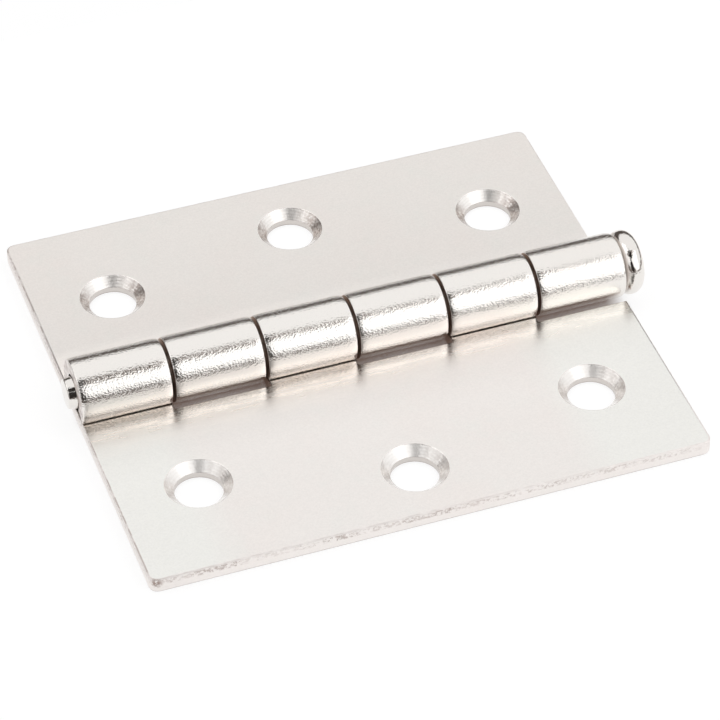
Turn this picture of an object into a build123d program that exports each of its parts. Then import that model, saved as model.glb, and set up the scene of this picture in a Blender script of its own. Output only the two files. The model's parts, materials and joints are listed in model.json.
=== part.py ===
# Loose-pin butt hinge, lying open flat with its countersunk faces up.
# Both leaves are pressed from sheet, and their fingers are rolled round the pin into knuckles.
# Millimetres. +X runs along the barrel towards the pin's head, +Y towards the rear leaf, +Z up.

import os
from math import asin, degrees

from build123d import *

# leaves
leaf_length = 75.0          # along the barrel
open_width = 67.0           # over both leaves, opened flat
sheet = 2.0                 # thickness of the steel
corner_radius = 1.5         # the two outer corners of a leaf
edge_round = 0.3            # upper edges, drawn down by the blanking
notch_radius = 0.15         # corners of the notches between the fingers

# barrel
knuckle_count = 6           # over the whole barrel, taken by the two leaves in turn
knuckle_gap = 0.4           # between neighbouring knuckles
notch_clearance = 0.25      # between a knuckle and the notch that it turns in
seam_gap = 0.2              # between the end of a roll and its own leaf
knuckle_end_bevel = 0.25    # rims of the knuckles

# screw holes, countersunk from above
hole_diameter = 6.3
countersink_diameter = 8.75
countersink_angle = 90.0
outer_hole_spacing = 53.4   # between the two outer holes of a leaf
outer_hole_offset = 18.9    # from the pin's axis
front_middle_hole_offset = 25.3
rear_middle_hole_offset = 24.2

# pin
pin_diameter = 4.3
pin_clearance = 0.28        # radial, inside the knuckles, for a pin that pulls out by hand
tip_reach = 1.2             # past the end of the barrel
tip_diameter = 3.96         # at the rim of the domed end; the tip tapers to it
tip_crown = 0.14            # length of the domed end
head_inset = 0.03           # the head's rim inside the barrel's outside, so that the hinge lies flat
head_seat = 0.1             # between the head and the end of the barrel
head_length = 3.35
head_crown = 0.8            # rise of the domed face, before its rim is rounded
head_rim_round = 1.5        # rim of the domed face
head_under_round = 0.8      # rim next to the barrel

# worked out from the sizes above
roll_inside = pin_diameter / 2 + pin_clearance
barrel_radius = roll_inside + sheet
notch_line = barrel_radius + notch_clearance
knuckle_pitch = (leaf_length + knuckle_gap) / knuckle_count
knuckle_length = knuckle_pitch - knuckle_gap
tip_x = -leaf_length / 2 - tip_reach
head_x = leaf_length / 2 + head_seat
pin_axis = Location((0, 0, barrel_radius))
part_centre = Location((-(tip_x + head_x + head_length) / 2, 0, 0))


def knuckle_starts(first):
    """The left ends of one leaf's knuckles, counted from the first that it has."""
    return [-leaf_length / 2 + index * knuckle_pitch for index in range(first, knuckle_count, 2)]


def blank(first):
    """The flat of a leaf, reaching towards -Y, with its fingers run in under the pin."""
    depth = open_width / 2 - notch_line
    outline = Pos(0, -notch_line - depth / 2) * Rectangle(leaf_length, depth)
    for start in knuckle_starts(first):
        outline += Pos(start + knuckle_length / 2, -notch_line / 2) * Rectangle(knuckle_length, notch_line)
    outline = fillet(outline.vertices().group_by(Axis.Y)[0], corner_radius)
    outline = fillet(outline.vertices().group_by(Axis.Y)[-2], notch_radius)
    flat = extrude(outline, sheet)
    upper_edges = flat.edges().group_by(Axis.Z)[-1]
    outer_edges = upper_edges.filter_by(lambda edge: edge.center().Y < -notch_line - notch_radius)
    return fillet(outer_edges, edge_round)


def roll(start):
    """One finger rolled up from under the pin, over it and back down to its own leaf."""
    end_drop = barrel_radius - sheet - seam_gap
    sweep = 270 + degrees(asin(end_drop / barrel_radius))
    outside = CenterArc((0, barrel_radius), barrel_radius, -90, sweep)
    inside = CenterArc((0, barrel_radius), roll_inside, -90, sweep)
    section = make_face([outside, Line(outside @ 1, inside @ 1), inside, Line(inside @ 0, outside @ 0)])
    tube = extrude(Plane.YZ.offset(start) * section, knuckle_length)
    rims = tube.edges().filter_by(GeomType.CIRCLE).group_by(SortBy.RADIUS)[-1]
    return chamfer(rims, knuckle_end_bevel)


def screw_hole(x, y):
    """A through hole with a countersink in the upper face."""
    tool = CounterSinkHole(hole_diameter / 2, countersink_diameter / 2, 2 * sheet, countersink_angle)
    return Pos(x, y, sheet) * tool


def leaf(first, middle_hole_offset):
    """A whole leaf, reaching towards -Y."""
    body = blank(first)
    for start in knuckle_starts(first):
        body += roll(start)
    half_spacing = outer_hole_spacing / 2
    body -= screw_hole(-half_spacing, -outer_hole_offset)
    body -= screw_hole(half_spacing, -outer_hole_offset)
    body -= screw_hole(0, -middle_hole_offset)
    return body


def crown(start, end):
    """The arc of a shallow dome about the X axis, from its top on the axis to its rim."""
    height = abs(end[0] - start[0])
    dome_radius = (end[1] ** 2 + height**2) / (2 * height)
    turn = 1 if start[0] < end[0] else -1
    return RadiusArc(start, end, turn * dome_radius)


def pin():
    """The loose pin, turned about the barrel's axis: tapered tip, plain shank and button head."""
    shank_radius = pin_diameter / 2
    head_radius = barrel_radius - head_inset
    top_x = head_x + head_length
    tip = crown((tip_x, 0), (tip_x + tip_crown, tip_diameter / 2))
    face = crown((top_x, 0), (top_x - head_crown, head_radius))
    shank = [(tip_x + tip_reach, shank_radius), (head_x, shank_radius)]
    corners = [tip @ 1, *shank, (head_x, head_radius), face @ 1]
    profile = make_face([tip, Polyline(*corners), face, Line(tip @ 0, face @ 0)])
    for side, rounding in ((0, head_under_round), (-1, head_rim_round)):
        rim = profile.vertices().group_by(Axis.Y)[-1].sort_by(Axis.X)[side]
        profile = fillet(rim, rounding)
    return pin_axis * revolve(profile, Axis.X)


pieces = {
    "front_leaf": leaf(0, front_middle_hole_offset),
    "rear_leaf": mirror(leaf(1, rear_middle_hole_offset), about=Plane.XZ),
    "hinge_pin": pin(),
}

os.makedirs("parts", exist_ok=True)
for name, piece in pieces.items():
    export_step(part_centre * piece, f"parts/{name}.step")
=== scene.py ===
import json
import math

import bmesh
import bpy
from mathutils import Matrix, Vector


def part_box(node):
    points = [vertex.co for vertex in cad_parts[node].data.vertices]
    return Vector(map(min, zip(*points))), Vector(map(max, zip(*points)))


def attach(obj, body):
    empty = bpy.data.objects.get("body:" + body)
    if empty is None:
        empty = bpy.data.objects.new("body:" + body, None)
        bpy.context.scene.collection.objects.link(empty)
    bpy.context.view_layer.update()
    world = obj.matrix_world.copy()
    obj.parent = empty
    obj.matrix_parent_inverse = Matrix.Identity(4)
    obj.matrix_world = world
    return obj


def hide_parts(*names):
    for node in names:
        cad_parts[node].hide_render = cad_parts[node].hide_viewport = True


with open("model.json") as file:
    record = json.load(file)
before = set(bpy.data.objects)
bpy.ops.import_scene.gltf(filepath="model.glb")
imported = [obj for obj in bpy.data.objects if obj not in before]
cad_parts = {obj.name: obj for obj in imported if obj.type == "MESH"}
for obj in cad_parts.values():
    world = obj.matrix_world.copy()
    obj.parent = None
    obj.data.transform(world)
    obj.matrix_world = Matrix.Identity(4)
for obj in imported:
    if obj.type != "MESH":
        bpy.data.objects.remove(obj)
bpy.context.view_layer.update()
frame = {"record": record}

# Loose-pin butt hinge in bright nickel, lying open flat on a white sheet.
# Meshes are drawn in millimetres and scaled to metres when they are finished.
# Finishes and the studio are in metres.

millimetre = 0.001
scene = bpy.context.scene


def inMillimetres(corner):
    return Vector(corner) / millimetre


leafLow, leafHigh = (inMillimetres(corner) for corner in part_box("front_leaf"))
rearHigh = inMillimetres(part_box("rear_leaf")[1])
pinLow, pinHigh = (inMillimetres(corner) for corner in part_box("hinge_pin"))
barrelRadius = leafHigh.z / 2
mounts = {mount["name"]: mount for mount in frame["record"]["mounts"]}
print("frame: leaf", [round(v, 3) for v in leafHigh - leafLow], "barrel radius", round(barrelRadius, 3))


# node helpers

def addNode(tree, kind, **settings):
    node = tree.nodes.new(kind)
    for name, value in settings.items():
        setattr(node, name, value)
    return node


def feed(tree, socket, value):
    # links an output, or sets a plain value
    if hasattr(value, "is_output"):
        tree.links.new(value, socket)
    else:
        socket.default_value = value


def mathNode(tree, operation, *values):
    node = addNode(tree, "ShaderNodeMath", operation=operation)
    for socket, value in zip(node.inputs, values):
        feed(tree, socket, value)
    return node.outputs[0]


def plus(tree, first, second):
    return mathNode(tree, "ADD", first, second)


def minus(tree, first, second):
    return mathNode(tree, "SUBTRACT", first, second)


def times(tree, first, second):
    return mathNode(tree, "MULTIPLY", first, second)


def ramp(tree, value, start, end, low=0.0, high=1.0):
    # goes from low to high while the value goes from start to end, and stays level outside them
    node = addNode(tree, "ShaderNodeMapRange")
    for socket, entry in zip(node.inputs, (value, start, end, low, high)):
        feed(tree, socket, entry)
    return node.outputs[0]


def mixColours(tree, factor, first, second):
    node = addNode(tree, "ShaderNodeMix", data_type="RGBA")
    for name, value in (("Factor_Float", factor), ("A_Color", first), ("B_Color", second)):
        feed(tree, next(s for s in node.inputs if s.identifier == name), value)
    return next(s for s in node.outputs if s.identifier == "Result_Color")


def tinted(tree, colour, mask, share, tint):
    return mixColours(tree, times(tree, mask, share), colour, tint)


def scaleColour(tree, colour, factor):
    node = addNode(tree, "ShaderNodeVectorMath", operation="SCALE")
    feed(tree, node.inputs[0], colour)
    feed(tree, node.inputs["Scale"], factor)
    return node.outputs[0]


def noise(tree, vector, scale, detail=2.0, roughness=0.5):
    node = addNode(tree, "ShaderNodeTexNoise")
    for name, value in (("Vector", vector), ("Scale", scale), ("Detail", detail), ("Roughness", roughness)):
        feed(tree, node.inputs[name], value)
    return node.outputs["Fac"]


def stretched(tree, vector, scale):
    node = addNode(tree, "ShaderNodeMapping")
    feed(tree, node.inputs["Vector"], vector)
    node.inputs["Scale"].default_value = scale
    return node.outputs["Vector"]


def axes(tree, vector):
    node = addNode(tree, "ShaderNodeSeparateXYZ")
    feed(tree, node.inputs[0], vector)
    return node.outputs


def objectPlace(tree):
    return addNode(tree, "ShaderNodeTexCoord").outputs["Object"]


def attribute(tree, name):
    return addNode(tree, "ShaderNodeAttribute", attribute_name=name).outputs["Fac"]


def newGroup(name, inputs, outputs):
    # inputs by name with their defaults, where None makes a vector; outputs by name with their kinds
    group = bpy.data.node_groups.new(name, "ShaderNodeTree")
    for label, value in inputs.items():
        kind = "Vector" if value is None else "Color" if isinstance(value, tuple) else "Float"
        socket = group.interface.new_socket(label, in_out="INPUT", socket_type="NodeSocket" + kind)
        if value is not None:
            socket.default_value = value
    for label, kind in outputs.items():
        group.interface.new_socket(label, in_out="OUTPUT", socket_type="NodeSocket" + kind)
    return group, addNode(group, "NodeGroupInput").outputs, addNode(group, "NodeGroupOutput").inputs


def placeGroup(tree, group, **values):
    node = addNode(tree, "ShaderNodeGroup", node_tree=group)
    for name, value in values.items():
        feed(tree, node.inputs[name], value)
    return node.outputs


def emptyMaterial(name):
    material = bpy.data.materials.new(name)
    material.use_nodes = True
    tree = material.node_tree
    tree.nodes.clear()
    return material, tree, addNode(tree, "ShaderNodeOutputMaterial")


# plating, painted shade and painted reflection: the effects that the finishes share; scales are to the metre,
# places in metres

toneSizes = {
    "slowScale": 55.0,
    "warmRamp": (0.45, 0.72),
    "cloudScale": 260.0,
    "coolRamp": (0.5, 0.75),
    "coolMost": 0.6,
    "grainScale": 4200.0,
    "bloomMiddle": -0.0035,       # place along the barrel
    "bloomRamp": (0.022, 0.027),  # away from that place
    "shadeRamp": (0.03, 0.008),   # away from the pin's axis
}


def buildPlatingToneAndShade():
    # slow drifts of tint in the plating, a neutral bloom towards a leaf's two ends, a painted shade
    # towards the barrel where the barrel keeps light off, fine grain, and the roughness that goes with the
    # drifts
    size = toneSizes
    group, given, put = newGroup(
        "platingToneAndShade",
        {"Position": None, "Metal": (0.8, 0.78, 0.75, 1), "Warm": (0.82, 0.76, 0.73, 1),
         "Cool": (0.77, 0.79, 0.75, 1), "Bloom": (0.8, 0.8, 0.77, 1), "Ends": 0.0, "Shade": 0.0,
         "Drift": 0.5, "Grain": 0.03, "Roughness": 0.2, "Patchiness": 0.04},
        {"Colour": "Color", "Roughness": "Float"})
    position = given["Position"]
    slow = noise(group, position, size["slowScale"], detail=3.0)
    cloud = noise(group, position, size["cloudScale"], detail=4.0, roughness=0.6)
    fine = noise(group, position, size["grainScale"], detail=1.0)
    warmth = times(group, ramp(group, slow, *size["warmRamp"]), given["Drift"])
    coolth = times(group, ramp(group, cloud, *size["coolRamp"], 0.0, size["coolMost"]), given["Drift"])
    colour = mixColours(group, warmth, given["Metal"], given["Warm"])
    colour = mixColours(group, coolth, colour, given["Cool"])
    place = axes(group, position)
    along = mathNode(group, "ABSOLUTE", minus(group, place["X"], size["bloomMiddle"]))
    bloom = times(group, ramp(group, along, *size["bloomRamp"]), given["Ends"])
    colour = mixColours(group, bloom, colour, given["Bloom"])
    across = mathNode(group, "ABSOLUTE", place["Y"])
    # painted shade: darker towards the barrel, where the barrel keeps light off
    shade = times(group, ramp(group, across, *size["shadeRamp"]), given["Shade"])
    grain = times(group, minus(group, fine, 0.5), given["Grain"])
    tone = minus(group, plus(group, grain, 1.0), shade)
    swing = times(group, minus(group, cloud, 0.5), given["Patchiness"])
    feed(group, put["Colour"], scaleColour(group, colour, tone))
    feed(group, put["Roughness"], plus(group, given["Roughness"], swing))
    return group


grainSizes = {
    "drawnOut": (0.8, 1.0, 1.0),
    "pebbleScale": 4800.0,
    "swellScale": 700.0,
}


def buildPlatingGrain():
    # the fine pebble of the deposit, drawn out along the barrel, with a longer swell under it
    group, given, put = newGroup(
        "platingGrain", {"Position": None, "Pebble": 1.0, "Swell": 1.0}, {"Height": "Float"})
    along = stretched(group, given["Position"], grainSizes["drawnOut"])
    pebble = noise(group, along, grainSizes["pebbleScale"], detail=0.8)
    swell = noise(group, along, grainSizes["swellScale"])
    height = plus(group, times(group, pebble, given["Pebble"]), times(group, swell, given["Swell"]))
    feed(group, put["Height"], height)
    return group


shearSizes = {
    "fleckDrawnOut": (0.7, 1.0, 1.0),
    "fleckScale": 3300.0,
    "fleckRamp": (0.47, 0.57),
    "lowFade": 0.0002,               # over this height the flecks set in
    "highFade": 0.0001,              # over this height they go, down to a share
    "highShare": 0.25,
    "clusterScale": 320.0,
    "clusterRamp": (0.38, 0.6),
    "clusterLeast": 0.3,
    "lineDrawnOut": (0.4, 0.4, 1.0),
    "lineScale": 1600.0,
    "lineRamp": (0.42, 0.56),
    "lineShares": (0.05, 0.3),
    "lineFade": 0.00004,
    "leftEnd": (-0.0383, -0.0375),   # on the left end of a leaf the line is bolder
    "leftShare": 2.6,
    "rightFade": (0.0, 0.03),        # towards the right the marks thin out
    "rightShare": 0.45,
    "bruiseRamp": (0.4, 1.0),        # of the bruise's size
    "bruiseFleckRamp": (0.38, 0.5),
    "bruiseMost": 1.5,
}


def buildShearMarks():
    # dark flecks torn along the upper part of a sheared edge, in clusters, under a broken line where
    # the shear began, and a knock at one place
    size = shearSizes
    group, given, put = newGroup(
        "shearMarks", {"Position": None, "Low": 0.0008, "High": 0.0019, "Bruise": None, "Size": 0.001},
        {"Mask": "Float"})
    position, low, high = given["Position"], given["Low"], given["High"]
    place = axes(group, position)
    x, height = place["X"], place["Z"]
    drawn = stretched(group, position, size["fleckDrawnOut"])
    speck = noise(group, drawn, size["fleckScale"], detail=3.0, roughness=0.65)
    setIn = ramp(group, height, low, plus(group, low, size["lowFade"]))
    goOut = ramp(group, height, minus(group, high, size["highFade"]), high, 1.0, size["highShare"])
    fleck = times(group, times(group, ramp(group, speck, *size["fleckRamp"]), setIn), goOut)
    cluster = noise(group, position, size["clusterScale"])
    cluster = ramp(group, cluster, *size["clusterRamp"], size["clusterLeast"], 1.0)
    streak = noise(group, stretched(group, position, size["lineDrawnOut"]), size["lineScale"])
    line = times(group, ramp(group, height, high, plus(group, high, size["lineFade"])),
                 ramp(group, streak, *size["lineRamp"], *size["lineShares"]))
    line = times(group, line, ramp(group, x, *size["leftEnd"], size["leftShare"], 1.0))
    torn = mathNode(group, "MAXIMUM", line, times(group, fleck, cluster))
    scattered = times(group, torn, ramp(group, x, *size["rightFade"], 1.0, size["rightShare"]))
    away = addNode(group, "ShaderNodeVectorMath", operation="DISTANCE")
    feed(group, away.inputs[0], position)
    feed(group, away.inputs[1], given["Bruise"])
    near = mathNode(group, "DIVIDE", away.outputs["Value"], given["Size"])
    knock = times(group, ramp(group, near, *size["bruiseRamp"], 1.0, 0.0),
                  ramp(group, speck, *size["bruiseFleckRamp"], 0.0, size["bruiseMost"]))
    feed(group, put["Mask"], mathNode(group, "MAXIMUM", scattered, knock))
    return group


ringSizes = {
    "wanderScale": 300.0,
    "wander": 0.5,           # millimetres, as the vertices' distances are
    "maskRamp": (0.2, 1.0),
    "speckScale": 2600.0,
    "speckRamp": (0.35, 0.6),
    "speckLeast": 0.35,
    "sideRamp": (0.6, 0.95),
}


def buildTurnedRings():
    # rings left by the countersinking tool, told from a vertex's own distance to the hole's centre,
    # and painted shade in specks on the hole's left and right walls, told from the vertex's side of the hole
    size = ringSizes
    group, given, put = newGroup(
        "turnedRings", {"Radius": 0.0, "Side": 0.0, "Position": None, "Pitch": 0.35},
        {"Height": "Float", "Mask": "Float", "SideShade": "Float"})
    wander = times(group, noise(group, given["Position"], size["wanderScale"]), size["wander"])
    count = mathNode(group, "DIVIDE", plus(group, given["Radius"], wander), given["Pitch"])
    wave = mathNode(group, "SINE", times(group, count, 2 * math.pi))
    speck = noise(group, given["Position"], size["speckScale"])
    speck = ramp(group, speck, *size["speckRamp"], size["speckLeast"], 1.0)
    feed(group, put["Height"], wave)
    feed(group, put["Mask"], ramp(group, wave, *size["maskRamp"]))
    feed(group, put["SideShade"], times(group, ramp(group, given["Side"], *size["sideRamp"]), speck))
    return group


stainAndSheenSizes = {
    "streakDrawnOut": (0.15, 1.0, 1.0),
    "streakScale": 1500.0,
    "streakRamp": (0.35, 0.65),
    "streakLeast": 0.35,
    "rightFade": (-0.01, 0.015),
    "backRamp": (0.0015, 0.0018),   # heights from a leaf's back to its face
}


def buildBendStainAndSheen():
    # a bloom that grows from one level of a value to another, broken into streaks along the barrel,
    # and the same bloom fading to a share of itself towards the right; on the flats it is a painted
    # reflection of the barrel, on the rolls a stain
    size = stainAndSheenSizes
    group, given, put = newGroup(
        "bendStainAndSheen", {"Value": 0.0, "From": 0.0, "To": 1.0, "Right": 1.0, "Position": None},
        {"Mask": "Float", "Faded": "Float"})
    drawn = stretched(group, given["Position"], size["streakDrawnOut"])
    streak = noise(group, drawn, size["streakScale"], roughness=0.6)
    mask = times(group, ramp(group, given["Value"], given["From"], given["To"]),
                 ramp(group, streak, *size["streakRamp"], size["streakLeast"], 1.0))
    fade = ramp(group, axes(group, given["Position"])["X"], *size["rightFade"], 1.0, given["Right"])
    feed(group, put["Mask"], mask)
    feed(group, put["Faded"], times(group, mask, fade))
    return group


platingToneAndShade = buildPlatingToneAndShade()
platingGrain = buildPlatingGrain()
shearMarks = buildShearMarks()
turnedRings = buildTurnedRings()
bendStainAndSheen = buildBendStainAndSheen()


def fromBarrel(tree, place):
    # the distance from the pin's axis across a leaf; its back counts as far away, so that the painted
    # reflection stays off it
    spot = axes(tree, place)
    onBack = ramp(tree, spot["Z"], *stainAndSheenSizes["backRamp"], 1.0, 0.0)
    return plus(tree, mathNode(tree, "ABSOLUTE", spot["Y"]), onBack)


def platedMetal(name, look):
    material, tree, output = emptyMaterial(name)
    surface = addNode(tree, "ShaderNodeBsdfPrincipled")
    feed(tree, output.inputs["Surface"], surface.outputs[0])
    place = objectPlace(tree)
    tone = placeGroup(
        tree, platingToneAndShade, Position=place, Metal=look["metal"], Warm=look["warm"], Cool=look["cool"],
        Bloom=look["bloom"], Ends=look["ends"], Shade=look["shade"], Drift=look["drift"],
        Grain=look["grain"], Roughness=look["roughness"], Patchiness=look["patchiness"])
    grain = placeGroup(tree, platingGrain, Position=place, Pebble=look["pebble"], Swell=look["swell"])
    colour, roughness, height = tone["Colour"], tone["Roughness"], grain["Height"]
    if "stainAndSheen" in look:
        value = attribute(tree, "curl") if look["stainAndSheenBy"] == "curl" else fromBarrel(tree, place)
        bloom = placeGroup(tree, bendStainAndSheen, Value=value, From=look["stainAndSheenFrom"], To=look["stainAndSheenTo"],
                           Right=look["stainAndSheenRight"], Position=place)
        # on the flats this tint is a painted reflection of the barrel, lighter and warmer; on the rolls it is
        # a stain
        colour = tinted(tree, colour, bloom["Faded"], look["stainAndSheenShare"], look["stainAndSheen"])
        roughness = minus(tree, roughness, times(tree, bloom["Mask"], look["burnish"]))
    if "flecks" in look:
        marks = placeGroup(tree, shearMarks, Position=place, Low=look["fleckLow"], High=look["fleckHigh"],
                           Bruise=look["bruise"], Size=look["bruiseSize"])
        colour = tinted(tree, colour, marks["Mask"], look["fleckShare"], look["flecks"])
        height = minus(tree, height, times(tree, marks["Mask"], look["fleckDepth"]))
    if "rings" in look:
        rings = placeGroup(tree, turnedRings, Radius=attribute(tree, "turned"), Side=attribute(tree, "side"),
                           Position=place, Pitch=look["ringPitch"])
        colour = tinted(tree, colour, rings["Mask"], look["ringShare"], look["rings"])
        # painted shade: darker on the left and right walls of a hole
        colour = tinted(tree, colour, rings["SideShade"], look["sideShadeShare"], look["sideShade"])
        height = plus(tree, height, times(tree, rings["Height"], look["ringDepth"]))
    bump = addNode(tree, "ShaderNodeBump")
    bump.inputs["Strength"].default_value = 1.0
    bump.inputs["Distance"].default_value = look["bumpDepth"]
    feed(tree, bump.inputs["Height"], height)
    surface.inputs["Metallic"].default_value = look["metallic"]
    feed(tree, surface.inputs["Base Color"], colour)
    feed(tree, surface.inputs["Roughness"], roughness)
    feed(tree, surface.inputs["Normal"], bump.outputs["Normal"])
    return material


nickel = {
    "metal": (0.8, 0.765, 0.735, 1), "warm": (0.8, 0.74, 0.7, 1), "cool": (0.77, 0.77, 0.73, 1),
    "bloom": (0.8, 0.8, 0.77, 1), "ends": 0.0, "shade": 0.0, "metallic": 1.0,
}
flatLook = {
    **nickel, "drift": 0.6, "grain": 0.12, "roughness": 0.38, "patchiness": 0.06,
    "pebble": 0.4, "swell": 0.6, "bumpDepth": 0.000004,
    # by the barrel the flats take a painted reflection of the barrel, lighter and warmer, in streaks; the
    # burnish only smooths the roughness there
    "stainAndSheen": (1.0, 0.945, 0.89, 1), "stainAndSheenShare": 0.95, "stainAndSheenRight": 0.15, "burnish": 0.19,
    "stainAndSheenBy": "place", "stainAndSheenFrom": 0.011, "stainAndSheenTo": 0.006,   # metres from the pin's axis
}
# frontLook and rearLook are lit and shaded copies of one plating: the rear leaf's darker colour, and its
# shade towards the barrel, are painted shade
frontLook = {
    **flatLook, "metal": (0.888, 0.85, 0.82, 1), "warm": (0.893, 0.83, 0.795, 1),
    "cool": (0.865, 0.86, 0.825, 1), "bloom": (0.892, 0.887, 0.852, 1), "ends": 0.9,
}
rearLook = {
    **flatLook, "metal": (0.876, 0.837, 0.8, 1), "warm": (0.876, 0.812, 0.772, 1),
    "cool": (0.848, 0.842, 0.8, 1), "shade": 0.056,
}
rollLook = {
    **nickel, "metal": (0.875, 0.845, 0.81, 1), "warm": (0.87, 0.82, 0.78, 1),
    "cool": (0.85, 0.845, 0.8, 1), "drift": 0.4, "grain": 0.04, "roughness": 0.17, "patchiness": 0.05,
    "pebble": 1.0, "swell": 0.1, "bumpDepth": 0.000037,
    # on a roll it is a warm stain towards the free end, with no painted reflection
    "stainAndSheen": (0.8, 0.66, 0.57, 1), "stainAndSheenShare": 0.25, "stainAndSheenRight": 1.0, "burnish": 0.0,
    "stainAndSheenBy": "curl", "stainAndSheenFrom": 0.85, "stainAndSheenTo": 0.97,   # towards the free end of a roll
}
sinkLook = {
    **nickel, "metal": (0.99, 0.965, 0.94, 1), "metallic": 0.6,
    "drift": 0.2, "grain": 0.05, "roughness": 0.26, "patchiness": 0.05,
    "pebble": 1.0, "swell": 0.3, "bumpDepth": 0.000012,
    "rings": (0.62, 0.57, 0.53, 1), "ringShare": 0.12, "ringDepth": 0.2, "ringPitch": 0.3,
    # painted shade on the left and right walls of a countersink
    "sideShade": (0.36, 0.29, 0.255, 1), "sideShadeShare": 0.4,
}
# the rear sinks are a shaded copy of the front ones: their darker colour and stronger side shade are painted
# shade
rearSinkLook = {
    **sinkLook, "metal": (0.975, 0.945, 0.915, 1), "metallic": 0.7, "ringShare": 0.2, "sideShadeShare": 0.8,
}
# darker inside a screw hole, under the countersink: painted shade
landLook = {
    **nickel, "metal": (0.68, 0.64, 0.61, 1),
    "drift": 0.3, "grain": 0.05, "roughness": 0.4, "patchiness": 0.05,
    "pebble": 1.0, "swell": 0.3, "bumpDepth": 0.000012,
}
edgeLook = {
    **nickel, "metal": (0.93, 0.89, 0.865, 1), "warm": (0.93, 0.87, 0.84, 1),
    "cool": (0.91, 0.9, 0.865, 1), "drift": 0.5, "grain": 0.05, "roughness": 0.55, "patchiness": 0.1,
    "pebble": 1.0, "swell": 1.5, "bumpDepth": 0.00003,
    "flecks": (0.34, 0.25, 0.215, 1), "fleckShare": 0.58, "fleckDepth": 0.5,
    "fleckLow": 0.00095, "fleckHigh": 0.0019,
    "bruise": (-0.0378, -0.0332, 0.0014), "bruiseSize": 0.0009,   # a knock on the front left corner
}
# darker brown on the walls inside the gaps between knuckles and inside the notches: painted shade
gapLook = {
    **nickel, "metal": (0.6, 0.48, 0.41, 1), "warm": (0.62, 0.47, 0.4, 1), "cool": (0.58, 0.47, 0.4, 1),
    "drift": 0.5, "grain": 0.05, "roughness": 0.45, "patchiness": 0.1,
    "pebble": 1.0, "swell": 1.0, "bumpDepth": 0.00002,
}
pinLook = {
    **nickel, "metal": (0.85, 0.82, 0.785, 1),
    "drift": 0.3, "grain": 0.02, "roughness": 0.1, "patchiness": 0.03,
    "pebble": 1.0, "swell": 0.3, "bumpDepth": 0.00002,
}
finishes = {
    "frontFlat": platedMetal("nickelFrontFlat", frontLook),
    "rearFlat": platedMetal("nickelRearFlat", rearLook),
    "roll": platedMetal("nickelRoll", rollLook),
    "frontSink": platedMetal("nickelFrontSink", sinkLook),
    "rearSink": platedMetal("nickelRearSink", rearSinkLook),
    "land": platedMetal("nickelLand", landLook),
    "edge": platedMetal("nickelShearedEdge", edgeLook),
    "gap": platedMetal("nickelGapWall", gapLook),
    "pin": platedMetal("nickelPin", pinLook),
}
finishNumber = {"flat": 0, "roll": 1, "sink": 2, "edge": 3, "gap": 4, "land": 5}
print("finishes:", ", ".join(finishes))


# mesh helpers

def ring(items):
    # neighbours, round to the first again
    return list(zip(items, items[1:] + items[:1]))


def arc(centre, radius, start, end, steps):
    turns = [math.radians(start + (end - start) * i / steps) for i in range(steps + 1)]
    return [Vector((centre[0] + radius * math.cos(a), centre[1] + radius * math.sin(a))) for a in turns]


def roundedProfile(corners, steps):
    # corners as (x, y, rounding); each corner is cut by an arc of that rounding
    points = []
    for i, (x, y, rounding) in enumerate(corners):
        here = Vector((x, y))
        if rounding == 0:
            points.append(here)
            continue
        back = (Vector(corners[i - 1][:2]) - here).normalized()
        ahead = (Vector(corners[i + 1][:2]) - here).normalized()
        half = back.angle(ahead) / 2
        centre = here + (back + ahead).normalized() * rounding / math.sin(half)
        start = (here + back * rounding / math.tan(half) - centre).normalized()
        end = (here + ahead * rounding / math.tan(half) - centre).normalized()
        points += [centre + rounding * start.slerp(end, step / steps) for step in range(steps + 1)]
    return points


def meshFrom(bm, name, smooth=True):
    mesh = bpy.data.meshes.new(name)
    bm.to_mesh(mesh)
    bm.free()
    mesh.polygons.foreach_set("use_smooth", [smooth] * len(mesh.polygons))
    return mesh


def addPiece(name, mesh):
    piece = bpy.data.objects.new(name, mesh)
    scene.collection.objects.link(piece)
    return piece


# leaves: a flat blank with straight fingers, whose fingers a node tree then rolls up

leafSizes = {
    "sheet": 2.0,
    "cornerRadius": 1.2,
    "notchRadius": 0.15,
    "knuckleCount": 6,
    "knuckleGap": 0.46,
    "notchClearance": 0.25,
    "seamGap": 0.14,
    "countersinkRadius": 4.375,
    "upperRound": (0.24, 0.2),   # drawn-down upper edges: how far in, how far down
    "lowerRound": (0.12, 0.12),  # sheared lower edges
    "rimRound": (1.3, 0.17),     # outer rims of the knuckles, drawn down by the blanking
    "boreRound": (0.1, 0.1),     # inner rims of the knuckles
    "lipRound": 0.1,             # free end of a roll
    "holeRound": 0.1,            # rims of the screw holes
    "rollSteps": 72,
    "holeSteps": 96,
    "cornerSteps": 12,
    "roundSteps": 5,
    "notchSteps": 6,
    "lipSteps": 3,
    "rimSteps": 3,
    "endReach": 0.01,            # a wall this close to the leaf's end faces outwards
}
leafLength = leafHigh.x - leafLow.x
leafMiddle = (leafHigh.x + leafLow.x) / 2
knucklePitch = (leafLength + leafSizes["knuckleGap"]) / leafSizes["knuckleCount"]
notchLine = barrelRadius + leafSizes["notchClearance"]
rollTurn = math.radians(270) + math.asin(
    (barrelRadius - leafSizes["sheet"] - leafSizes["seamGap"]) / barrelRadius)
fingerLength = rollTurn * barrelRadius


def fingerSpans():
    starts = [-leafLength / 2 + i * knucklePitch for i in range(0, leafSizes["knuckleCount"], 2)]
    return [(start, start + knucklePitch - leafSizes["knuckleGap"]) for start in starts]


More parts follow.
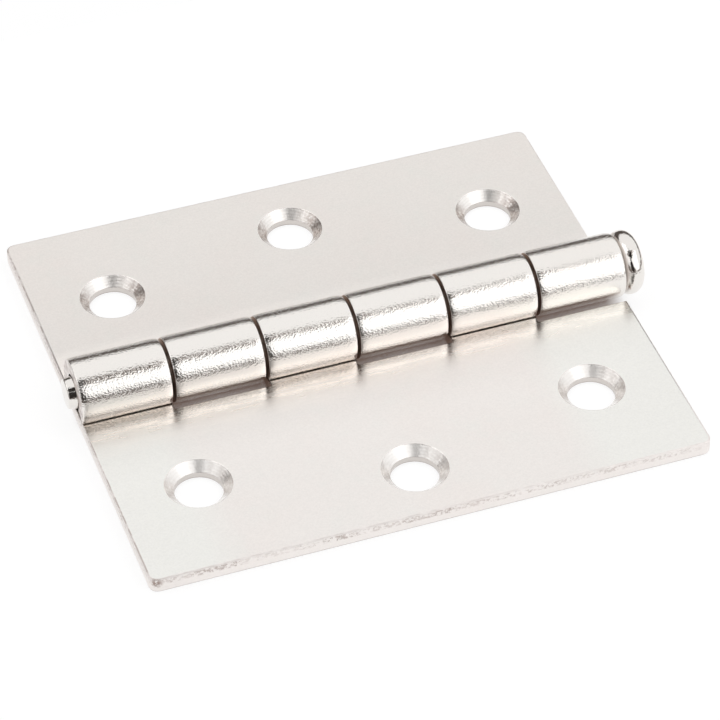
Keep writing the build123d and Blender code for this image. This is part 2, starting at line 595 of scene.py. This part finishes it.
def blankOutline(spans, reach):
    # anticlockwise from the front left corner: points, each point's upper and lower rounding, and
    # each finger's first and last point; a finger's upper side becomes the inside of its roll
    half, corner, notch, lip = (leafLength / 2, leafSizes["cornerRadius"], leafSizes["notchRadius"],
                                leafSizes["lipRound"])
    plate = (leafSizes["upperRound"], leafSizes["lowerRound"])
    finger = (leafSizes["boreRound"], leafSizes["rimRound"])
    freeEnd = ((lip, lip), (lip, lip))
    points, roundings, fingers = [], [], []

    def run(some, rounding):
        points.extend(some)
        roundings.extend([rounding] * len(some))

    def bend(x, y, radius, start, end, steps, rounding=plate):
        run(arc((x, y), radius, start, end, leafSizes[steps]), rounding)

    rows = [fingerLength * i / leafSizes["rollSteps"] for i in range(leafSizes["rollSteps"])]
    bend(-half + corner, -reach + corner, corner, 180, 270, "cornerSteps")
    bend(half - corner, -reach + corner, corner, 270, 360, "cornerSteps")
    if spans[-1][1] < half - notch:
        bend(half - notch, -notchLine - notch, notch, 0, 90, "notchSteps")
    for left, right in reversed(spans):
        if right < half - notch:
            bend(right + notch, -notchLine + notch, notch, 270, 180, "notchSteps")
        start = len(points)
        run([Vector((right, y)) for y in rows], finger)
        bend(right - lip, fingerLength - lip, lip, 0, 90, "lipSteps", freeEnd)
        bend(left + lip, fingerLength - lip, lip, 90, 180, "lipSteps", freeEnd)
        run([Vector((left, y)) for y in reversed(rows)], finger)
        fingers.append((start, len(points) - 1))
        if left > -half + notch:
            bend(left - notch, -notchLine + notch, notch, 0, -90, "notchSteps")
    if spans[0][0] > -half + notch:
        bend(-half + notch, -notchLine - notch, notch, 90, 180, "notchSteps")
    return points, roundings, fingers


def inwardMitres(points):
    mitres = []
    for i, here in enumerate(points):
        back = (here - points[i - 1]).normalized()
        ahead = (points[(i + 1) % len(points)] - here).normalized()
        first, second = Vector((-back.y, back.x)), Vector((-ahead.y, ahead.x))
        mitres.append((first + second) / (1 + first.dot(second)))
    return mitres


def roundedEdge(upper, lower):
    # (inset, height) from the lower flat, round the sheet's edge, to the upper flat
    steps = leafSizes["roundSteps"]
    turns = [math.pi / 2 * i / steps for i in range(steps + 1)]
    below = [(lower[0] * (1 - math.sin(a)), lower[1] * (1 - math.cos(a))) for a in turns]
    above = [(upper[0] * (1 - math.cos(a)), leafSizes["sheet"] - upper[1] * (1 - math.sin(a))) for a in turns]
    return below + above


def screwPlaces(side):
    # the record's own mounts, in the blank's frame, where either leaf reaches towards -Y
    names = [f"{side}_leaf_{place}_screw" for place in ("left", "middle", "right")]
    origins = [inMillimetres(mounts[name]["pos_m"]) for name in names]
    turn = -1 if side == "rear" else 1
    return [(turn * (origin.x - leafMiddle), turn * origin.y) for origin in origins]


def holeProfile(side):
    # (radius, height) from the upper flat, down the countersink and the land, to the lower flat
    holeRadius = mounts[side + "_leaf_middle_screw"]["dims"]["r_mm"]
    sinkRadius, sheet, rounding = leafSizes["countersinkRadius"], leafSizes["sheet"], leafSizes["holeRound"]
    land = sheet - (sinkRadius - holeRadius)
    corners = [(sinkRadius + 2 * rounding, sheet, 0), (sinkRadius, sheet, rounding),
               (holeRadius, land, rounding), (holeRadius, 0.0, rounding), (holeRadius + 2 * rounding, 0.0, 0)]
    return roundedProfile(corners, leafSizes["rimSteps"])


def edgeFinish(finger, wall, upper, notch, outer):
    if finger and not wall:
        return "roll"
    if not notch or (finger and outer):
        return "edge"
    # inside the notches, and on the knuckles' end walls that face each other, the walls take the gap finish,
    # whose dark colour is painted shade
    return "flat" if upper else "gap"


def holeFinish(step):
    # the flat, the rim, as bright as the rolls, the cone of the countersink, and all that is under it
    rim = leafSizes["rimSteps"]
    return "flat" if step == 0 else "roll" if step <= rim else "sink" if step == rim + 1 else "land"


def buildBlank(name, side, reach):
    bm = bmesh.new()
    finish = bm.faces.layers.int.new("finish")
    curl = bm.verts.layers.float.new("curl")       # 0 where a finger leaves the flat, 1 at its free end
    turned = bm.verts.layers.float.new("turned")   # distance from a screw hole's centre
    flank = bm.verts.layers.float.new("side")      # 1 on a hole's left and right, 0 at its front and back

    def face(kind, *verts):
        bm.faces.new(verts)[finish] = finishNumber[kind]

    points, roundings, fingers = blankOutline(fingerSpans(), reach)
    rolled = [any(start <= i <= end for start, end in fingers) for i in range(len(points))]
    columns = []
    for point, mitre, rounding in zip(points, inwardMitres(points), roundings):
        columns.append([bm.verts.new((*(point + mitre * inset), height))
                        for inset, height in roundedEdge(*rounding)])
        for vert in columns[-1]:
            vert[curl] = max(vert.co.y, 0) / fingerLength
    levels = len(columns[0])
    deep = -notchLine - 2 * leafSizes["notchRadius"]
    for (i, here), (j, there) in ring(list(enumerate(columns))):
        finger = rolled[i] and rolled[j]
        outer = max(abs(points[i].x), abs(points[j].x)) > leafLength / 2 - leafSizes["endReach"]
        notch = min(points[i].y, points[j].y) > deep
        for k in range(levels - 1):
            wall, upper = k == levels // 2 - 1, k >= levels // 2
            face(edgeFinish(finger, wall, upper, notch, outer), here[k], there[k], there[k + 1], here[k + 1])

    for start, end in fingers:
        count = leafSizes["rollSteps"]
        for level in (0, -1):
            for row in range(count - 1):
                face("roll", columns[start + row][level], columns[start + row + 1][level],
                     columns[end - row - 1][level], columns[end - row][level])
            face("roll", *[columns[i][level] for i in range(start + count - 1, end - count + 2)])

    rims = {0: [], -1: []}
    profile = holeProfile(side)
    for place in screwPlaces(side):
        rings = []
        for point in profile:
            circle = []
            for spot in arc(place, point.x, 0, 360, leafSizes["holeSteps"])[:-1]:
                vert = bm.verts.new((spot.x, spot.y, point.y))
                vert[turned] = point.x
                vert[flank] = abs(spot.x - place[0]) / point.x
                circle.append(vert)
            rings.append(circle)
        for k, (outer, within) in enumerate(zip(rings, rings[1:])):
            for (a, b), (c, d) in zip(ring(outer), ring(within)):
                face(holeFinish(k), a, b, d, c)
        rims[-1].append(rings[0])
        rims[0].append(rings[-1])

    # the flats, between the outline without its fingers and the holes
    inner = [i for i in range(len(points)) if not any(start < i < end for start, end in fingers)]
    for level, circles in rims.items():
        border = [columns[i][level] for i in inner]
        edges = []
        for closed in [border] + circles:
            edges += [bm.edges.get(pair) or bm.edges.new(pair) for pair in ring(closed)]
        facing = (0, 0, -1 if level == 0 else 1)
        filled = bmesh.ops.triangle_fill(bm, use_beauty=True, edges=edges, normal=facing)
        for item in filled["geom"]:
            if isinstance(item, bmesh.types.BMFace):
                item[finish] = finishNumber["flat"]

    bmesh.ops.recalc_face_normals(bm, faces=bm.faces)
    return meshFrom(bm, name + "Blank")


def buildRollTree():
    tree = bpy.data.node_groups.new("rollFingers", "GeometryNodeTree")
    tree.interface.new_socket("Geometry", in_out="INPUT", socket_type="NodeSocketGeometry")
    for label in ("Barrel Radius", "Developed Radius"):
        tree.interface.new_socket(label, in_out="INPUT", socket_type="NodeSocketFloat")
    for kind in finishNumber:
        tree.interface.new_socket(kind.title() + " Finish", in_out="INPUT", socket_type="NodeSocketMaterial")
    tree.interface.new_socket("Geometry", in_out="OUTPUT", socket_type="NodeSocketGeometry")
    given, put = addNode(tree, "NodeGroupInput").outputs, addNode(tree, "NodeGroupOutput").inputs
    radius = given["Barrel Radius"]
    x, y, z = axes(tree, addNode(tree, "GeometryNodeInputPosition").outputs[0])
    turn = mathNode(tree, "DIVIDE", mathNode(tree, "MAXIMUM", y, 0.0), given["Developed Radius"])
    arm = minus(tree, radius, z)
    flat = mathNode(tree, "MINIMUM", y, 0.0)
    rolledY = plus(tree, flat, times(tree, arm, mathNode(tree, "SINE", turn)))
    rolledZ = minus(tree, radius, times(tree, arm, mathNode(tree, "COSINE", turn)))
    moved = addNode(tree, "ShaderNodeCombineXYZ")
    for socket, value in zip(moved.inputs, (x, rolledY, rolledZ)):
        feed(tree, socket, value)
    rolled = addNode(tree, "GeometryNodeSetPosition")
    feed(tree, rolled.inputs["Geometry"], given["Geometry"])
    feed(tree, rolled.inputs["Position"], moved.outputs[0])
    realized = addNode(tree, "GeometryNodeRealizeInstances")
    feed(tree, realized.inputs[0], rolled.outputs[0])
    geometry = realized.outputs[0]
    number = addNode(tree, "GeometryNodeInputNamedAttribute", data_type="INT")
    number.inputs["Name"].default_value = "finish"
    for kind, value in finishNumber.items():
        chosen = addNode(tree, "FunctionNodeCompare", data_type="INT", operation="EQUAL")
        feed(tree, chosen.inputs[2], number.outputs["Attribute"])
        feed(tree, chosen.inputs[3], value)
        painted = addNode(tree, "GeometryNodeSetMaterial")
        feed(tree, painted.inputs["Geometry"], geometry)
        feed(tree, painted.inputs["Selection"], chosen.outputs[0])
        feed(tree, painted.inputs["Material"], given[kind.title() + " Finish"])
        geometry = painted.outputs[0]
    feed(tree, put[0], geometry)
    return tree


rollTree = buildRollTree()


def finishedMesh(blankObject, name):
    # the evaluated mesh as plain data, with no modifier and no empty material slot left on it
    graph = bpy.context.evaluated_depsgraph_get()
    evaluated = blankObject.evaluated_get(graph)
    mesh = bpy.data.meshes.new_from_object(evaluated, preserve_all_data_layers=True, depsgraph=graph)
    mesh.name = name
    bpy.data.objects.remove(blankObject)
    while None in list(mesh.materials):
        mesh.materials.pop(index=list(mesh.materials).index(None))
    return mesh


def buildLeaf(name, side, reach):
    blank = addPiece(name + "Blank", buildBlank(name, side, reach))
    rolling = blank.modifiers.new("rolling", "NODES")
    rolling.node_group = rollTree
    values = {"Barrel Radius": barrelRadius, "Developed Radius": barrelRadius}
    chosen = {**finishes, "flat": finishes[side + "Flat"], "sink": finishes[side + "Sink"]}
    values.update({kind.title() + " Finish": chosen[kind] for kind in finishNumber})
    for item in rollTree.interface.items_tree:
        if item.name in values:
            rolling[item.identifier] = values[item.name]
    blank.modifiers.new("normals", "WEIGHTED_NORMAL").keep_sharp = True
    mesh = finishedMesh(blank, name)
    turn = math.pi if side == "rear" else 0.0   # the same pressing, half a turn round
    placed = Matrix.Translation((leafMiddle, 0, 0)) @ Matrix.Rotation(turn, 4, "Z")
    mesh.transform(Matrix.Scale(millimetre, 4) @ placed)
    print("leaf:", name, len(mesh.polygons), "faces")
    return addPiece(name, mesh)


frontLeaf = buildLeaf("frontLeaf", "front", -leafLow.y)
rearLeaf = buildLeaf("rearLeaf", "rear", rearHigh.y)


# pin: turned about the barrel's axis

pinSizes = {
    "shankRadius": 2.15,
    "shankRound": 0.3,     # where the tip's taper meets the shank
    "tipReach": 1.2,
    "tipRadius": 1.98,
    "tipCrown": 0.14,
    "tipRound": 0.2,
    "headLength": 3.35,
    "headCrown": 0.8,
    "headFillet": 0.1,     # where the shank meets the head
    "rimRound": 1.5,
    "underRound": 1.34,
    "endMargin": 1.0,      # the shank is plain from this far inside its ends
    "axisReach": 1e-6,     # a ring smaller than this is one point, which closes an end
    "steps": 144,
    "tipSteps": 24,
    "headSteps": 48,
    "roundSteps": 12,
}


def domeProfile(topX, rimX, rimRadius, steps):
    # from the axis out to the rim, on a shallow sphere
    height = rimX - topX
    radius = (rimRadius ** 2 + height ** 2) / (2 * abs(height))
    centre = topX + math.copysign(radius, height)
    points = []
    for step in range(steps + 1):
        r = rimRadius * step / steps
        x = centre - math.copysign(math.sqrt(radius ** 2 - r ** 2), height)
        points.append((x, r))
    return points


def buildPin():
    size = pinSizes
    headRadius = (pinHigh.y - pinLow.y) / 2
    shank = size["shankRadius"]
    shankStart = pinLow.x + size["tipReach"]
    headStart = pinHigh.x - size["headLength"]
    tip = domeProfile(pinLow.x, pinLow.x + size["tipCrown"], size["tipRadius"], size["tipSteps"])
    head = domeProfile(pinHigh.x, pinHigh.x - size["headCrown"], headRadius, size["headSteps"])
    profile = roundedProfile([
        *[(x, r, 0) for x, r in tip if size["tipRadius"] - r > 2 * size["tipRound"]],
        (*tip[-1], size["tipRound"]),
        (shankStart, shank, size["shankRound"]),
        (shankStart + size["endMargin"], shank, 0),
        (headStart - size["endMargin"], shank, 0),
        (headStart, shank, size["headFillet"]),
        (headStart, headRadius, size["underRound"]),
        (*head[-1], size["rimRound"]),
        *[(x, r, 0) for x, r in reversed(head) if headRadius - r > size["rimRound"]],
    ], size["roundSteps"])
    bm = bmesh.new()
    turns = [2 * math.pi * i / size["steps"] for i in range(size["steps"])]
    rings = []
    for x, r in profile:
        if r < size["axisReach"]:
            rings.append([bm.verts.new((x, 0, barrelRadius))] * size["steps"])
            continue
        rings.append([bm.verts.new((x, r * math.cos(a), barrelRadius + r * math.sin(a))) for a in turns])
    for first, second in zip(rings, rings[1:]):
        for i in range(size["steps"]):
            corners = [first[i - 1], first[i], second[i], second[i - 1]]
            bm.faces.new(list(dict.fromkeys(corners)))
    bmesh.ops.recalc_face_normals(bm, faces=bm.faces)
    mesh = meshFrom(bm, "hingePin")
    mesh.materials.append(finishes["pin"])
    mesh.transform(Matrix.Scale(millimetre, 4))
    print("pin:", len(mesh.polygons), "faces")
    return addPiece("hingePin", mesh)


hingePin = buildPin()

for piece, body, slot in ((frontLeaf, "front_leaf", "leaf_plating"), (rearLeaf, "rear_leaf", "leaf_plating"),
                          (hingePin, "hinge_pin", "pin_plating")):
    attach(piece, body)
    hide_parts(body)


# studio: a white sheet, a white surround, and the panels that the barrel mirrors

whiteLight = (1.0, 1.0, 1.0)
warmDark = (1.0, 0.86, 0.78)
studio = {
    "sheetSide": 0.16,
    "sheetDrop": -0.00005,
    "sheetDiffuse": 0.25,           # of what is seen, beside its glow
    "sheetBounce": 0.8,             # of what only lights the hinge
    "sheetGlow": 0.8,
    "shadowReach": 0.006,
    "shadowSamples": 8,
    "shadowRamp": (0.18, 0.34),
    "shadowTint": (0.16, 0.11, 0.09, 1),
    "shadowGlow": (0.13, 0.092, 0.077, 1),
    "shadowEnd": (0.0345, 0.0372),  # the shadow fades out from here to here, before the pin's head
    "surround": 1.0,
    "panelSteps": 16,
    "stationSteps": 4,
    # arcs about the barrel: stations of (place along it in metres, then from and to in degrees
    # from straight up, positive towards the camera, and where the light is graded its level at each)
    "arcs": {
        "softbox": {"distance": 0.7, "tint": whiteLight, "stations": (
            (-0.7, 14, 90, 1.2, 1.2), (0.06, 14, 90, 1.2, 1.2), (0.14, 14, 90, 1.35, 1.35),
            (0.21, 14, 90, 1.5, 1.5), (0.7, 14, 90, 1.5, 1.5))},
        "overheadGap": {"level": 0.26, "distance": 0.6, "tint": warmDark, "stations": (
            (-0.6, 13, 30), (0.02, 13, 30.5), (0.075, 13, 30.5), (0.11, 13, 29),
            (0.17, 14, 23.5), (0.225, 14, 20), (0.3, 14, 15))},
        "standUpper": {"level": 0.03, "distance": 0.59, "tint": warmDark, "stations": (
            (-0.3, 14, 37), (-0.08, 10, 41), (0.04, 14, 31))},
        "standLower": {"level": 0.03, "distance": 0.59, "tint": warmDark, "stations": (
            (-0.45, 60, 86), (-0.3, 43, 86), (-0.08, 43, 86), (0.04, 78, 86))},
    },
    # walls about the hinge: stations of (degrees round from the camera's side, positive to the right,
    # then from and to in degrees above the sheet, and where the light is graded its level at each)
    "walls": {
        "sideLight": {"level": 1.65, "distance": 0.75, "tint": whiteLight, "stations": (
            (-125, 24, 62), (-40, 24, 62))},
        "frontFill": {"distance": 0.68, "tint": whiteLight, "stations": (
            (-110, 0, 40, 0.6, 1.2), (0, 0, 40, 0.6, 1.2), (10.4, 0, 40, 0.66, 1.2), (15.8, 0, 38, 1.0, 1.3),
            (20.5, 0, 30, 1.15, 1.35), (30, 0, 25, 1.3, 1.4))},
        "frontHorizon": {"level": 0.2, "distance": 0.65, "tint": warmDark, "stations": (
            (-110, -6, 20), (-60, -8, 14), (-20, -9, 14), (0, -9, 13.5), (7, -9, 13), (10.4, -8, 9.5),
            (15.8, -5, 4), (20.5, -3.5, 2), (45, -4, 2.5), (60, -5, 4), (90, -5, 5), (110, -6, 8))},
        "rearHorizon": {"level": 0.1, "distance": 0.65, "tint": warmDark, "stations": (
            (110, -6, 8), (125, -6, 12), (140, -6, 18), (155, -6, 22.5), (165, -6, 24), (180, -6, 24),
            (210, -6, 24), (250, -6, 20))},
    },
}


def onArc(panel, x, turn):
    a = math.radians(turn)
    return x, -panel["distance"] * math.sin(a), panel["distance"] * math.cos(a)


def onWall(panel, turn, rise):
    a = math.radians(turn)
    return (panel["distance"] * math.sin(a), -panel["distance"] * math.cos(a),
            panel["distance"] * math.tan(math.radians(rise)))


def addPanel(name, panel, place):
    graded = "level" not in panel
    material, tree, output = emptyMaterial(name)
    lamp = addNode(tree, "ShaderNodeEmission")
    lamp.inputs["Color"].default_value = (*panel["tint"], 1)
    feed(tree, lamp.inputs["Strength"], attribute(tree, "glow") if graded else panel["level"])
    feed(tree, output.inputs["Surface"], lamp.outputs[0])
    between, steps = studio["stationSteps"], studio["panelSteps"]
    stations = []
    for here, there in zip(panel["stations"], panel["stations"][1:]):
        stations += [[a + (b - a) * step / between for a, b in zip(here, there)] for step in range(between)]
    stations.append(panel["stations"][-1])
    bm = bmesh.new()
    glow = bm.verts.layers.float.new("glow")
    columns = []
    for first, low, high, *levels in stations:
        columns.append([])
        for share in (step / steps for step in range(steps + 1)):
            vert = bm.verts.new(place(panel, first, low + (high - low) * share))
            if graded:
                vert[glow] = levels[0] + (levels[1] - levels[0]) * share
            columns[-1].append(vert)
    for here, there in zip(columns, columns[1:]):
        for k in range(steps):
            bm.faces.new((here[k], there[k], there[k + 1], here[k + 1]))
    mesh = meshFrom(bm, name, smooth=False)
    mesh.materials.append(material)
    strip = addPiece(name, mesh)
    strip.visible_camera = False


def sheetMaterial():
    # white where it is seen or mirrored, with a warm shadow close under the hinge
    paper, tree, output = emptyMaterial("whiteSheet")
    rays = addNode(tree, "ShaderNodeLightPath").outputs
    seen = mathNode(tree, "MAXIMUM", rays["Is Camera Ray"],
                    mathNode(tree, "MAXIMUM", rays["Is Glossy Ray"], rays["Is Transmission Ray"]))
    near = addNode(tree, "ShaderNodeAmbientOcclusion", samples=studio["shadowSamples"])
    near.inputs["Distance"].default_value = studio["shadowReach"]
    along = axes(tree, objectPlace(tree))["X"]
    lit = mathNode(tree, "MAXIMUM", ramp(tree, near.outputs["AO"], *studio["shadowRamp"]),
                   ramp(tree, along, *studio["shadowEnd"]))
    shine = addNode(tree, "ShaderNodeEmission")
    feed(tree, shine.inputs["Color"], mixColours(tree, lit, studio["shadowGlow"], (*whiteLight, 1)))
    feed(tree, shine.inputs["Strength"], times(tree, seen, studio["sheetGlow"]))
    matte = addNode(tree, "ShaderNodeBsdfDiffuse")
    shade = ramp(tree, seen, 0.0, 1.0, studio["sheetBounce"], studio["sheetDiffuse"])
    grey = addNode(tree, "ShaderNodeCombineColor")
    for socket in grey.inputs:
        feed(tree, socket, shade)
    feed(tree, matte.inputs["Color"], mixColours(tree, lit, studio["shadowTint"], grey.outputs[0]))
    both = addNode(tree, "ShaderNodeAddShader")
    feed(tree, both.inputs[0], shine.outputs[0])
    feed(tree, both.inputs[1], matte.outputs[0])
    feed(tree, output.inputs["Surface"], both.outputs[0])
    return paper


def buildStudio():
    for name, panel in studio["arcs"].items():
        addPanel(name, panel, onArc)
    for name, panel in studio["walls"].items():
        addPanel(name, panel, onWall)

    world = bpy.data.worlds.new("studioWorld")
    scene.world = world
    world.use_nodes = True
    background = next(node for node in world.node_tree.nodes if node.type == "BACKGROUND")
    background.inputs["Color"].default_value = (*whiteLight, 1)
    background.inputs["Strength"].default_value = studio["surround"]

    side = studio["sheetSide"] / 2
    mesh = bpy.data.meshes.new("whiteSheet")
    corners = [(-side, -side), (side, -side), (side, side), (-side, side)]
    mesh.from_pydata([(x, y, studio["sheetDrop"]) for x, y in corners], [], [(0, 1, 2, 3)])
    mesh.materials.append(sheetMaterial())
    addPiece("whiteSheet", mesh)


buildStudio()
print("studio:", ", ".join([*studio["arcs"], *studio["walls"]]))


# camera: at the photograph's height and turn

view = {
    "azimuth": -19.388,
    "elevation": 42.3871,
    "roll": -0.1007,
    "fromLeaf": (-120.2654, -346.1401, 333.0711),   # from the leaf's middle, in millimetres
    "focalPixels": 3761.77,
    "imagePixels": 720,
    "sensor": 36.0,
    "clip": (0.01, 20.0),
}


def buildCamera():
    az, el, roll = (math.radians(view[name]) for name in ("azimuth", "elevation", "roll"))
    right = Vector((math.cos(az), math.sin(az), 0))
    forward = Vector((-math.sin(az) * math.cos(el), math.cos(az) * math.cos(el), -math.sin(el)))
    down = forward.cross(right)
    rightTurned = math.cos(roll) * right - math.sin(roll) * down
    downTurned = math.sin(roll) * right + math.cos(roll) * down
    data = bpy.data.cameras.new("camera")
    data.sensor_width = view["sensor"]
    data.lens = view["focalPixels"] * view["sensor"] / view["imagePixels"]
    data.clip_start, data.clip_end = view["clip"]
    camera = bpy.data.objects.new("camera", data)
    scene.collection.objects.link(camera)
    turn = Matrix((rightTurned, -downTurned, -forward)).transposed()
    position = (Vector(view["fromLeaf"]) + Vector((leafMiddle, 0, 0))) * millimetre
    camera.matrix_world = Matrix.Translation(position) @ turn.to_4x4()
    scene.camera = camera


buildCamera()
scene.view_settings.view_transform = "Standard"
print("camera: lens", round(scene.camera.data.lens, 2))
